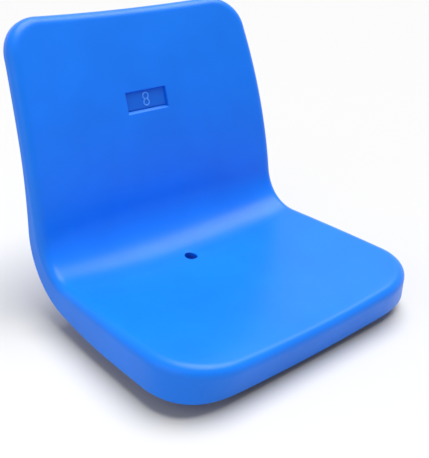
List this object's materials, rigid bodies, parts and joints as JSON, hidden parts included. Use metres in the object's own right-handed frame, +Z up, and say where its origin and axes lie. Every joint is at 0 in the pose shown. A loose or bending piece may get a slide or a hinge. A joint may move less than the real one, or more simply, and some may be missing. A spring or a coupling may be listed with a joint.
{
  "type": "stadium seat",
  "caption": "Moulded stadium seat shell with a number plate in the backrest and pressed steel mounting rails underneath.",
  "frame": {"origin": "centre of the rectangle of four anchor slots, on the surface that the rails stand on", "axes": "+Z up, the seat faces -Y, +X to the right of someone who looks at the front of the seat"},
  "size_m": [0.4468, 0.4422, 0.4008],
  "materials": {
    "shell_plastic": "semi-gloss moulded polypropylene, blue right through",
    "plate_plastic": "satin moulded plastic",
    "rail_steel": "hot-dip galvanised",
    "fastener_steel": "bright zinc plated",
    "insert_brass": "turned brass"
  },
  "bodies": {
    "root": {"seat_shell": "shell_plastic", "number_plate": "plate_plastic", "plate_retainer_left": "fastener_steel", "plate_retainer_right": "fastener_steel", "rail_left": "rail_steel", "rail_right": "rail_steel", "insert_front_left": "insert_brass", "insert_front_right": "insert_brass", "insert_rear_left": "insert_brass", "insert_rear_right": "insert_brass", "washer_front_left": "fastener_steel", "washer_front_right": "fastener_steel", "washer_rear_left": "fastener_steel", "washer_rear_right": "fastener_steel", "spring_washer_front_left": "fastener_steel", "spring_washer_front_right": "fastener_steel", "spring_washer_rear_left": "fastener_steel", "spring_washer_rear_right": "fastener_steel", "bolt_front_left": "fastener_steel", "bolt_front_right": "fastener_steel", "bolt_rear_left": "fastener_steel", "bolt_rear_right": "fastener_steel"}
  },
  "joints": []
}
